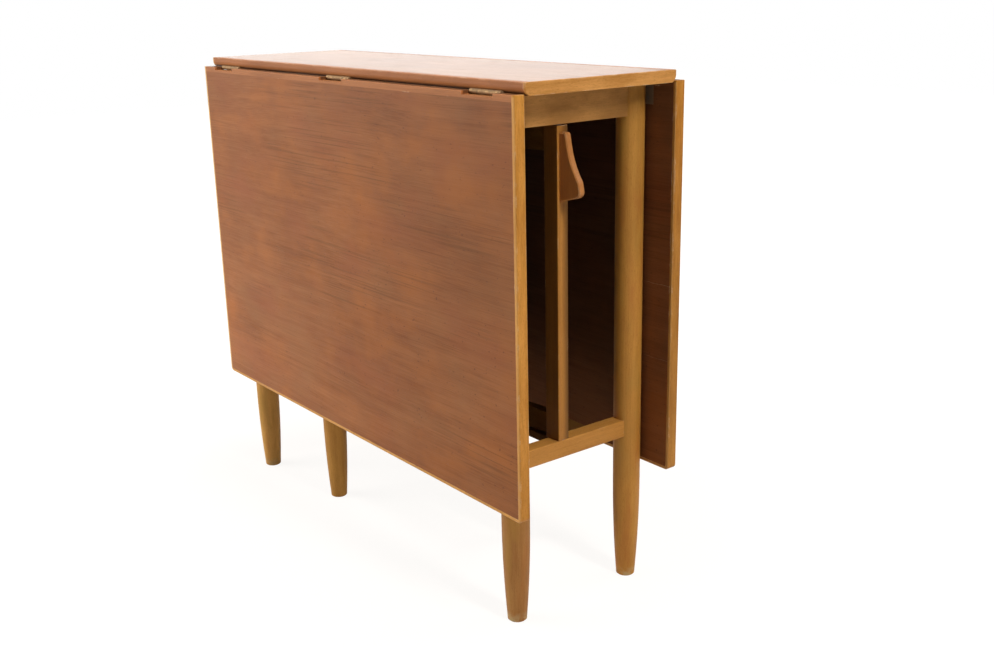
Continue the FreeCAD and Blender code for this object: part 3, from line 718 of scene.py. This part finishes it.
def make_screw_tree():
    """Geometry nodes: a slotted countersunk screw on every point, turned to the point's normal."""
    tree = bpy.data.node_groups.new("Slotted screws", "GeometryNodeTree")
    group_input(tree, "Geometry", "NodeSocketGeometry")
    for label, default in (
        ("Head Radius", 0.003),
        ("Shank Radius", 0.0015),
        ("Length", 0.01),
        ("Slot Width", 0.0008),
        ("Slot Depth", 0.0007),
    ):
        group_input(tree, label, FLOAT, default).subtype = "DISTANCE"
    group_input(tree, "Seed", "NodeSocketInt", SPIN_SEED)
    group_input(tree, "Material", "NodeSocketMaterial")
    tree.interface.new_socket("Geometry", in_out="OUTPUT", socket_type="NodeSocketGeometry")
    start, end = tree.nodes.new("NodeGroupInput").outputs, tree.nodes.new("NodeGroupOutput")
    slot_reach, tip, root = 3.0, 0.6, 0.92

    def lifted(mesh, offset):
        place = node(tree, "ShaderNodeCombineXYZ", {2: offset})
        move = node(tree, "GeometryNodeTransform", {"Geometry": mesh, "Translation": place.outputs[0]})
        return move.outputs[0]

    def cone(vertices, top, bottom, depth):
        sizes = {"Vertices": vertices, "Radius Top": top, "Radius Bottom": bottom, "Depth": depth}
        return node(tree, "GeometryNodeMeshCone", sizes).outputs["Mesh"]

    head_height = maths(tree, "SUBTRACT", start["Head Radius"], start["Shank Radius"])
    head = cone(24, start["Shank Radius"], start["Head Radius"], head_height)
    slot_size = {
        0: product(tree, start["Head Radius"], slot_reach),
        1: start["Slot Width"],
        2: product(tree, start["Slot Depth"], 2.0),
    }
    slot_vector = node(tree, "ShaderNodeCombineXYZ", slot_size)
    cutter = node(tree, "GeometryNodeMeshCube", {"Size": slot_vector.outputs[0]})
    solids = {0: head, 1: cutter.outputs["Mesh"]}
    slotted = node(tree, "GeometryNodeMeshBoolean", solids, operation="DIFFERENCE", solver="EXACT")
    shank_length = maths(tree, "SUBTRACT", start["Length"], head_height)
    thin_end, thick_end = (product(tree, start["Shank Radius"], share) for share in (tip, root))
    shank = cone(12, thin_end, thick_end, shank_length)
    join = tree.nodes.new("GeometryNodeJoinGeometry")
    tree.links.new(slotted.outputs["Mesh"], join.inputs[0])
    tree.links.new(lifted(shank, head_height), join.inputs[0])
    spin = node(tree, "FunctionNodeRandomValue", {2: 0.0, 3: math.pi}, data_type="FLOAT")
    tree.links.new(start["Seed"], spin.inputs["Seed"])
    spin_vector = node(tree, "ShaderNodeCombineXYZ", {2: spin.outputs[1]})
    spin_turn = node(tree, "FunctionNodeEulerToRotation", {0: spin_vector.outputs[0]})
    inward = node(tree, "GeometryNodeInputNamedAttribute", {"Name": "inward"}, data_type="FLOAT_VECTOR")
    inward_out = next(socket for socket in inward.outputs if socket.enabled and socket.name == "Attribute")
    aligned = node(tree, "FunctionNodeAlignRotationToVector", {"Vector": inward_out}, axis="Z")
    rotated = node(
        tree, "FunctionNodeRotateRotation", {0: aligned.outputs[0], 1: spin_turn.outputs[0]}, rotation_space="LOCAL"
    )
    spread = node(
        tree,
        "GeometryNodeInstanceOnPoints",
        {"Points": start["Geometry"], "Instance": join.outputs[0], "Rotation": rotated.outputs[0]},
    )
    real = node(tree, "GeometryNodeRealizeInstances", {"Geometry": spread.outputs[0]})
    paint = node(tree, "GeometryNodeSetMaterial", {"Geometry": real.outputs[0], "Material": start["Material"]})
    tree.links.new(paint.outputs[0], end.inputs[0])
    return tree


def solids_of(name):
    """Separate solids of a CAD node, as lists of their corners."""
    shell = bmesh.new()
    shell.from_mesh(NODES[name].data)
    bmesh.ops.remove_doubles(shell, verts=shell.verts, dist=SAME_CORNER)
    left = set(shell.verts)
    parts = []
    while left:
        todo = [left.pop()]
        found = []
        while todo:
            vert = todo.pop()
            found.append(vert)
            for edge in vert.link_edges:
                other = edge.other_vert(vert)
                if other in left:
                    left.remove(other)
                    todo.append(other)
        parts.append([vert.co.copy() for vert in found])
    shell.free()
    return sorted(parts, key=lambda part: rounded(part_centre(part)))


def part_centre(corners):
    return sum(corners, Vector()) / len(corners)


def rounded(values):
    return tuple(round(value, 4) for value in values)


def screw_facts(corners):
    """Head centre, direction into the wood, head radius, shank radius and length of one screw."""
    centre = part_centre(corners)
    axis = (max(corners, key=lambda point: (point - centre).length) - centre).normalized()
    for _ in range(AXIS_ROUNDS):
        total = Vector()
        for point in corners:
            arm = point - centre
            total += arm * arm.dot(axis)
        axis = total.normalized()

    def end_radius(direction):
        reach = max((point - centre).dot(direction) for point in corners)
        ring = [point - centre for point in corners if (point - centre).dot(direction) > reach - RING_DEPTH]
        return reach, max((arm - direction * arm.dot(direction)).length for arm in ring)

    reach, radius = end_radius(axis)
    other_reach, other_radius = end_radius(-axis)
    if radius > other_radius:
        axis, reach, radius, other_reach, other_radius = -axis, other_reach, other_radius, reach, radius
    return centre - axis * other_reach, axis, other_radius, radius, reach + other_reach


def seat_screws(name, cad_nodes, material):
    """Slotted screws in the seats of the CAD's plain ones, as one mesh."""
    metal = bpy.context.scene.table_metal
    facts = [screw_facts(corners) for cad_node in cad_nodes for corners in solids_of(cad_node)]
    tree = bpy.data.node_groups.get("Slotted screws") or make_screw_tree()
    merged = bmesh.new()
    for size in sorted({rounded(fact[2:]) for fact in facts}):
        seats = [fact for fact in facts if rounded(fact[2:]) == size]
        points = bpy.data.meshes.new(name + "_seats")
        points.from_pydata([tuple(fact[0]) for fact in seats], [], [])
        inward = points.attributes.new("inward", "FLOAT_VECTOR", "POINT")
        for index, fact in enumerate(seats):
            inward.data[index].vector = fact[1]
        holder = add_object(name + "_seats", points)
        modifier = holder.modifiers.new("Screws", "NODES")
        modifier.node_group = tree
        values = {
            "Head Radius": size[0] * HEAD_FIT,
            "Shank Radius": size[1] * SHANK_FIT,
            "Length": size[2],
            "Slot Width": metal.slot_width * size[0] / USUAL_HEAD,
            "Slot Depth": metal.slot_depth,
            "Seed": SPIN_SEED,
            "Material": material,
        }
        for item in tree.interface.items_tree:
            if item.item_type == "SOCKET" and item.in_out == "INPUT" and item.name in values:
                modifier[item.identifier] = values[item.name]
        bpy.context.view_layer.update()
        evaluated = holder.evaluated_get(bpy.context.evaluated_depsgraph_get())
        made = bpy.data.meshes.new_from_object(evaluated)
        merged.from_mesh(made)
        holder.modifiers.remove(modifier)
        bpy.data.objects.remove(holder)
        bpy.data.meshes.remove(made)
    result = bpy.data.meshes.new(name)
    merged.to_mesh(result)
    merged.free()
    result.materials.append(material)
    for polygon in result.polygons:
        polygon.material_index = 0
    return add_object(name, result)


# ---- operators

PAINTED_LIGHT_TONES = {  # light and dark grain of the beech members, set one by one as painted light and shade for how much light each gets; the front-far leg's much lighter tones are painted light
    "leg_front_near": dict(light=(0.46, 0.216, 0.058), dark=(0.25, 0.098, 0.023)),
    "leg_front_far": dict(light=(0.78, 0.43, 0.11), dark=(0.49, 0.23, 0.05)),
    "leg_rear_near": dict(light=(0.6, 0.285, 0.053), dark=(0.35, 0.142, 0.022)),
    "leg_rear_far": dict(light=(0.56, 0.25, 0.052), dark=(0.32, 0.118, 0.02)),
    "apron": dict(light=(0.76, 0.372, 0.105), dark=(0.44, 0.2, 0.05)),
    "stretcher": dict(light=(0.61, 0.28, 0.058), dark=(0.36, 0.142, 0.024)),
    "gate_leg": dict(light=(0.56, 0.28, 0.058), dark=(0.34, 0.145, 0.026)),
}
END_STRIP_TINT = (0.95, 1.0, 1.45)
PIN_TARNISH = (0.3, 0.26, 0.22)
SCREW_TARNISH = (0.2, 0.15, 0.11)
HANDLE_WORN = (0.5, 0.36, 0.2)


class TABLE_OT_top(bpy.types.Operator):
    """Finish the top: veneered board, solid nosings and end strips."""

    bl_idname = "table.top"
    bl_label = "Top"

    def execute(self, context):
        wood = context.scene.table_wood
        finish = teak(
            "Teak top",
            (0.2, 0.9, 0.3),
            light=wood.top_light,
            dark=wood.top_dark,
            roughness=(0.28, 0.4),
            coat=0.15,
            specular=0.5,
            wear=0.3,
            extra=underside_painted_shade,
            matt=underside,
        )
        set_material(["top_panel"], finish)
        for side, shift in (("front", (0.1, 0.2, 0.4)), ("rear", (0.7, 0.5, 0.1))):
            nosing = teak(
                "Teak nosing " + side,
                shift,
                light=wood.nosing_light,
                dark=wood.nosing_dark,
                wear=0.75,
                edge_width=0.0022,
                contrast=0.02,
                extra=nosing_painted_shade,
            )
            set_material(["top_nosing_" + side], nosing)
        for end, shift in (("near", (0.0, 0.3, 0.6)), ("far", (0.4, 0.1, 0.2))):
            set_material(["top_lipping_" + end], edge_strip("Beech end strip " + end, "y", shift, END_STRIP_TINT))
        return {"FINISHED"}


class TABLE_OT_leaves(bpy.types.Operator):
    """Finish the two leaves: veneered boards, hinge strips, edge bands and stops."""

    bl_idname = "table.leaves"
    bl_label = "Leaves"

    def execute(self, context):
        wood = context.scene.table_wood
        for side, shift in (("front", (0.33, 0.12, 0.57)), ("rear", (0.81, 0.44, 0.15))):
            board = teak("Teak leaf " + side, shift, specular=0.16, extra=leaf_marks_and_painted_light, matt=inner_face)
            strip = teak(
                "Teak hinge strip " + side,
                tuple(value + 0.2 for value in shift),
                light=wood.nosing_light,
                dark=wood.nosing_dark,
                extra=hinge_strip_painted_shade,
            )
            set_material([f"leaf_{side}_panel"], board)
            set_material([f"leaf_{side}_hinge_lipping"], strip)
            set_material([f"leaf_{side}_edge_band"], edge_strip("Beech edge band " + side, "z", shift))
            set_material([f"leaf_{side}_stop"], beech("Beech stop " + side, "z", shift))
        return {"FINISHED"}


class TABLE_OT_legs(bpy.types.Operator):
    """Finish the four fixed legs."""

    bl_idname = "table.legs"
    bl_label = "Legs"

    def execute(self, context):
        for index, name in enumerate(("leg_front_near", "leg_front_far", "leg_rear_near", "leg_rear_far")):
            shift = (0.31 * index, 0.17 * index, 0.43 * index)
            label = "Beech " + name.replace("_", " ")
            set_material([name], beech(label, "z", shift, wear=0.6, extra=leg_marks_and_painted_shade, **PAINTED_LIGHT_TONES[name]))
        return {"FINISHED"}


class TABLE_OT_rails(bpy.types.Operator):
    """Finish the end rails, the members along the table, their blocks and dowels."""

    bl_idname = "table.rails"
    bl_label = "Rails"

    def execute(self, context):
        for index, end in enumerate(("near", "far")):
            shift = (0.5 * index, 0.2, 0.3 * index)
            apron = beech(
                "Beech apron " + end,
                "y",
                shift,
                figure=(0.02, 0.05),
                fibre_weight=0.2,
                blotch_weight=0.9,
                contrast=0.25,
                extra=apron_marks,
                **PAINTED_LIGHT_TONES["apron"],
            )
            stretcher = beech("Beech stretcher " + end, "y", shift, wear=0.7, **PAINTED_LIGHT_TONES["stretcher"])
            set_material(["apron_" + end], apron)
            set_material(["stretcher_" + end], stretcher)
        along = beech("Beech long rails", "x", (0.2, 0.6, 0.4), specular=0.08, extra=inside_painted_shade, matt=inside)
        set_material(["top_rail", "centre_board"], along)
        set_material(["corner_blocks", "frame_dowels"], beech("Beech blocks", "z", (0.6, 0.1, 0.8)))
        return {"FINISHED"}


class TABLE_OT_gates(bpy.types.Operator):
    """Finish the two gates: posts, arms and legs."""

    bl_idname = "table.gates"
    bl_label = "Gates"

    def execute(self, context):
        for index, side in enumerate(("front", "rear")):
            shift = (0.37 * index + 0.1, 0.23, 0.51 * index)
            post = beech(f"Beech post {side}", "z", shift, wear=0.6, extra=post_painted_shade)
            leg_shift = (shift[1], shift[0], 0.2)
            leg = beech(f"Beech gate leg {side}", "z", leg_shift, extra=gate_leg_painted_shade, **PAINTED_LIGHT_TONES["gate_leg"])
            arms = beech(f"Beech arms {side}", "x", shift, specular=0.08, wear=0.6, extra=inside_painted_shade, matt=inside)
            set_material([f"gate_{side}_post"], post)
            set_material([f"gate_{side}_leg"], leg)
            set_material([f"gate_{side}_top_arm", f"gate_{side}_bottom_arm"], arms)
        return {"FINISHED"}


class TABLE_OT_handles(bpy.types.Operator):
    """Finish the ear-shaped handles on the gate posts."""

    bl_idname = "table.handles"
    bl_label = "Handles"

    def execute(self, context):
        wood = context.scene.table_wood
        for index, side in enumerate(("front", "rear")):
            finish = teak(
                "Teak handle " + side,
                (0.2, 0.5 * index, 0.7),
                "z",
                light=wood.handle_light,
                dark=wood.handle_dark,
                wear=0.8,
                edge_width=0.0025,
                worn=HANDLE_WORN,
            )
            set_material([f"gate_{side}_handle"], finish)
        return {"FINISHED"}


class TABLE_OT_hinges(bpy.types.Operator):
    """Finish the hinges, their pins, and the gates' pins and rings."""

    bl_idname = "table.hinges"
    bl_label = "Hinges"

    def execute(self, context):
        metal = context.scene.table_metal
        brass = metal_material("Brass hinge", metal.brass, metal.tarnish, BRASS_ROUGHNESS, 0.8, PLATE_TOP)
        steel = metal_material("Pin steel", metal.steel, PIN_TARNISH, PIN_ROUGHNESS, 0.3)
        halves = [
            f"hinge_{side}_{place}_{half}"
            for side in ("front", "rear")
            for place in ("far", "middle", "near")
            for half in ("fixed", "moving")
        ]
        set_material(halves, brass)
        set_material(["hinge_pins", "gate_washers", "gate_front_pins", "gate_rear_pins"], steel)
        return {"FINISHED"}


class TABLE_OT_screws(bpy.types.Operator):
    """Seat the slotted screws of the hinges, the rails, the stops and the handles."""

    bl_idname = "table.screws"
    bl_label = "Screws"

    def execute(self, context):
        metal = context.scene.table_metal
        steel = metal_material("Screw steel", metal.steel, SCREW_TARNISH, SCREW_ROUGHNESS, 0.5, PLATE_TOP)
        groups = [("frame_screws", "frame", ["hinge_top_screws", "top_screws"])]
        for side in ("front", "rear"):
            groups.append((f"leaf_{side}_slotted_screws", f"leaf_{side}", [f"leaf_{side}_screws"]))
            groups.append((f"gate_{side}_slotted_screws", f"gate_{side}", [f"gate_{side}_handle_screws"]))
        for name, body, cad_nodes in groups:
            piece = seat_screws(name, cad_nodes, steel)
            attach(piece, body)
            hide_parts(*cad_nodes)
        return {"FINISHED"}


# ---- studio

LAMPS = (  # name, place, target, width and depth, watts
    ("Leaf lamp", (-2.1, -3.2, 2.4), (0.0, 0.0, 0.4), (2.2, 2.0), 95.0),
    ("Side lamp", (-3.4, -2.6, 1.7), (0.0, 0.0, 0.4), (1.8, 1.8), 74.0),
    ("End lamp", (3.2, 0.12, 3.0), (0.3, 0.0, 0.4), (0.5, 1.6), 99.0),
    ("Top lamp", (0.2, 0.2, 3.2), (0.0, 0.0, 0.7), (1.8, 1.8), 36.0),
    ("Back lamp", (1.2, 3.6, 2.8), (0.0, 0.0, 0.4), (2.2, 1.6), 50.0),
    ("Sheen lamp", (-3.0, 1.9, 1.15), (-0.2, 0.0, 0.73), (2.4, 1.2), 19.0),
)
WHITE = (1.0, 1.0, 1.0, 1.0)
WARM_WHITE = (1.0, 0.985, 0.965, 1.0)
FLOOR_GLOW = 1.14
FLOOR_IN_GLOSS, WORLD_IN_GLOSS = 0.35, 0.3
SHADOW_REACH = (0.42, 0.85)  # distances from the middle between which the shadow fades out
CAMERA_PLACE = (1.48585, -0.99330, 0.83960)
CAMERA_AZIMUTH, CAMERA_ELEVATION, CAMERA_ROLL = (math.radians(angle) for angle in (52.46, 16.57, -1.24))


def looked_at(tree, in_gloss):
    """1 where the camera or a clear piece looks directly, and a share of it for glossy rays."""
    path = tree.nodes.new("ShaderNodeLightPath").outputs
    seen = maths(tree, "MAXIMUM", path["Is Camera Ray"], path["Is Transmission Ray"])
    return maths(tree, "MAXIMUM", seen, product(tree, path["Is Glossy Ray"], in_gloss))


def make_floor(studio):
    """Pale floor that the camera sees as plain white, but for the shadow around the table."""
    half = studio.floor_size / 2
    mesh = bpy.data.meshes.new("floor")
    mesh.from_pydata([(-half, -half, 0), (half, -half, 0), (half, half, 0), (-half, half, 0)], [], [(0, 1, 2, 3)])
    floor = add_object("floor", mesh)
    material, tree, shader = new_material("Pale floor")
    shader.inputs["Base Color"].default_value = (*studio.floor, 1.0)
    shader.inputs["Roughness"].default_value = 0.9
    shader.inputs["Specular IOR Level"].default_value = 0.1
    distance = node(tree, "ShaderNodeVectorMath", {0: object_place(tree)}, operation="LENGTH").outputs["Value"]
    share = product(tree, looked_at(tree, FLOOR_IN_GLOSS), remap(tree, distance, *SHADOW_REACH, 0.8, 1.0, smooth=True))
    white = node(tree, "ShaderNodeEmission", {"Color": WARM_WHITE, "Strength": FLOOR_GLOW})
    mix = node(tree, "ShaderNodeMixShader", {0: share, 1: shader.outputs[0], 2: white.outputs[0]})
    output = next(item for item in tree.nodes if item.type == "OUTPUT_MATERIAL")
    tree.links.new(mix.outputs[0], output.inputs[0])
    mesh.materials.append(material)


def make_surroundings(scene, studio):
    """White surroundings that light the table weakly."""
    scene.world = bpy.data.worlds.new("White surroundings")
    scene.world.use_nodes = True
    tree = scene.world.node_tree
    tree.nodes.clear()
    strength = remap(tree, looked_at(tree, WORLD_IN_GLOSS), 0.0, 1.0, studio.world, 1.0)
    background = node(tree, "ShaderNodeBackground", {"Color": WHITE, "Strength": strength})
    output = tree.nodes.new("ShaderNodeOutputWorld")
    tree.links.new(background.outputs[0], output.inputs[0])


def make_lamp(name, place, target, size, power):
    light = bpy.data.lights.new(name, "AREA")
    light.shape = "RECTANGLE"
    light.size, light.size_y = size
    light.energy = power
    holder = add_object(name, light)
    direction = Vector(target) - Vector(place)
    holder.matrix_world = Matrix.Translation(place) @ direction.to_track_quat("-Z", "Y").to_matrix().to_4x4()


def make_camera(scene, studio):
    data = bpy.data.cameras.new("Camera")
    data.sensor_fit = "HORIZONTAL"
    data.sensor_width = 36.0
    data.lens = studio.lens
    data.clip_end = 60.0
    camera = add_object("Camera", data)
    level = math.cos(CAMERA_ELEVATION)
    back = Vector((math.sin(CAMERA_AZIMUTH) * level, -math.cos(CAMERA_AZIMUTH) * level, math.sin(CAMERA_ELEVATION)))
    right = Vector((math.cos(CAMERA_AZIMUTH), math.sin(CAMERA_AZIMUTH), 0.0))
    up = back.cross(right)
    rolled_right = right * math.cos(CAMERA_ROLL) + up * math.sin(CAMERA_ROLL)
    rolled_up = up * math.cos(CAMERA_ROLL) - right * math.sin(CAMERA_ROLL)
    turn = Matrix((rolled_right, rolled_up, back)).transposed().to_4x4()
    camera.matrix_world = Matrix.Translation(CAMERA_PLACE) @ turn
    scene.camera = camera


class TABLE_OT_studio(bpy.types.Operator):
    """Set up the floor, the white surroundings, the soft lamps and the camera."""

    bl_idname = "table.studio"
    bl_label = "Studio"

    def execute(self, context):
        scene, studio = context.scene, context.scene.table_studio
        make_floor(studio)
        make_surroundings(scene, studio)
        for name, place, target, size, watts in LAMPS:
            make_lamp(name, place, target, size, watts * studio.key)
        make_camera(scene, studio)
        scene.view_settings.view_transform = "Standard"
        return {"FINISHED"}


# ---- panel and running

SETTINGS = {"table_wood": TableWoodSettings, "table_metal": TableMetalSettings, "table_studio": TableStudioSettings}
OPERATORS = (
    TABLE_OT_top,
    TABLE_OT_leaves,
    TABLE_OT_legs,
    TABLE_OT_rails,
    TABLE_OT_gates,
    TABLE_OT_handles,
    TABLE_OT_hinges,
    TABLE_OT_screws,
    TABLE_OT_studio,
)


class TABLE_PT_panel(bpy.types.Panel):
    """Every step of the table's finishing, with its settings."""

    bl_label = "Drop-leaf table"
    bl_idname = "TABLE_PT_panel"
    bl_space_type = "VIEW_3D"
    bl_region_type = "UI"
    bl_category = "Table"

    def draw(self, context):
        for operator in OPERATORS:
            self.layout.operator(operator.bl_idname)
        for name in SETTINGS:
            group = getattr(context.scene, name)
            box = self.layout.box()
            for setting in group.__annotations__:
                box.prop(group, setting)


CLASSES = (*SETTINGS.values(), *OPERATORS, TABLE_PT_panel)


def register():
    for item in CLASSES:
        bpy.utils.register_class(item)
    for name, group in SETTINGS.items():
        setattr(bpy.types.Scene, name, bpy.props.PointerProperty(type=group))


def unregister():
    for name in SETTINGS:
        delattr(bpy.types.Scene, name)
    for item in reversed(CLASSES):
        bpy.utils.unregister_class(item)


def main():
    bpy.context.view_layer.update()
    register()
    for operator in OPERATORS:
        group, name = operator.bl_idname.split(".")
        getattr(getattr(bpy.ops, group), name)()


if __name__ == "__main__":
    main()
